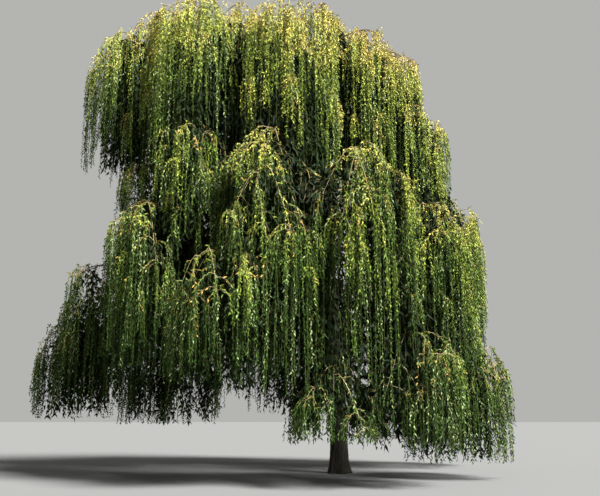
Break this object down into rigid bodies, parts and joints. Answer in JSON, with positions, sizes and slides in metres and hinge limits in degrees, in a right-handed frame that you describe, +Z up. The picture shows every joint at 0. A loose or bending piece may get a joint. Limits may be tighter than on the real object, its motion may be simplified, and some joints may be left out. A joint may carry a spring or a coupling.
{
  "type": "weeping willow tree",
  "caption": "Full-grown weeping willow rooted in the ground: a flared trunk, spreading limbs, and tiers of foliage that hang in long curtains almost to the ground.",
  "frame": {"origin": "middle of the flat cut under the trunk, at ground level", "axes": "+Z up along the trunk; -Y is the front, the side that the picture shows; the crown leans to -X"},
  "size_m": [14.995, 13.1038, 16.2638],
  "materials": {
    "bark": "rough, deeply furrowed grey-brown bark",
    "leaves": "soft matt narrow leaves, green, yellower where the light falls on the crests"
  },
  "bodies": {
    "root": {"trunk": "bark", "limb_left": "bark", "limb_front": "bark", "limb_right": "bark", "limb_back": "bark", "bough_top_left": "bark", "bough_top_right": "bark", "bough_upper_right": "bark", "bough_dome_left": "bark", "bough_dome_right": "bark", "bough_dome_back": "bark", "bough_inner_left": "bark", "bough_mid_left": "bark", "bough_left_crest": "bark", "bough_left_flank": "bark", "bough_far_left": "bark", "bough_centre": "bark", "bough_centre_left": "bark", "bough_front_skirt": "bark", "bough_centre_right": "bark", "bough_right_crest": "bark", "bough_right_upper": "bark", "bough_far_right": "bark", "bough_right_skirt_in": "bark", "bough_right_skirt": "bark", "bough_back_right": "bark", "bough_back_left": "bark", "bough_back_centre": "bark", "bough_back_skirt_in": "bark", "bough_back_skirt_out": "bark", "foliage_summit": "leaves", "foliage_shoulder_left": "leaves", "foliage_front_upper": "leaves", "foliage_shoulder_right": "leaves", "foliage_back_upper": "leaves", "foliage_top_left": "leaves", "foliage_top_right": "leaves", "foliage_upper_right": "leaves", "foliage_dome_left": "leaves", "foliage_dome_right": "leaves", "foliage_dome_back": "leaves", "foliage_inner_left": "leaves", "foliage_mid_left": "leaves", "foliage_left_crest": "leaves", "foliage_left_flank": "leaves", "foliage_far_left": "leaves", "foliage_centre": "leaves", "foliage_centre_left": "leaves", "foliage_front_skirt": "leaves", "foliage_centre_right": "leaves", "foliage_right_crest": "leaves", "foliage_right_upper": "leaves", "foliage_far_right": "leaves", "foliage_right_skirt_in": "leaves", "foliage_right_skirt": "leaves", "foliage_back_right": "leaves", "foliage_back_left": "leaves", "foliage_back_centre": "leaves", "foliage_back_skirt_in": "leaves", "foliage_back_skirt_out": "leaves"}
  },
  "joints": []
}
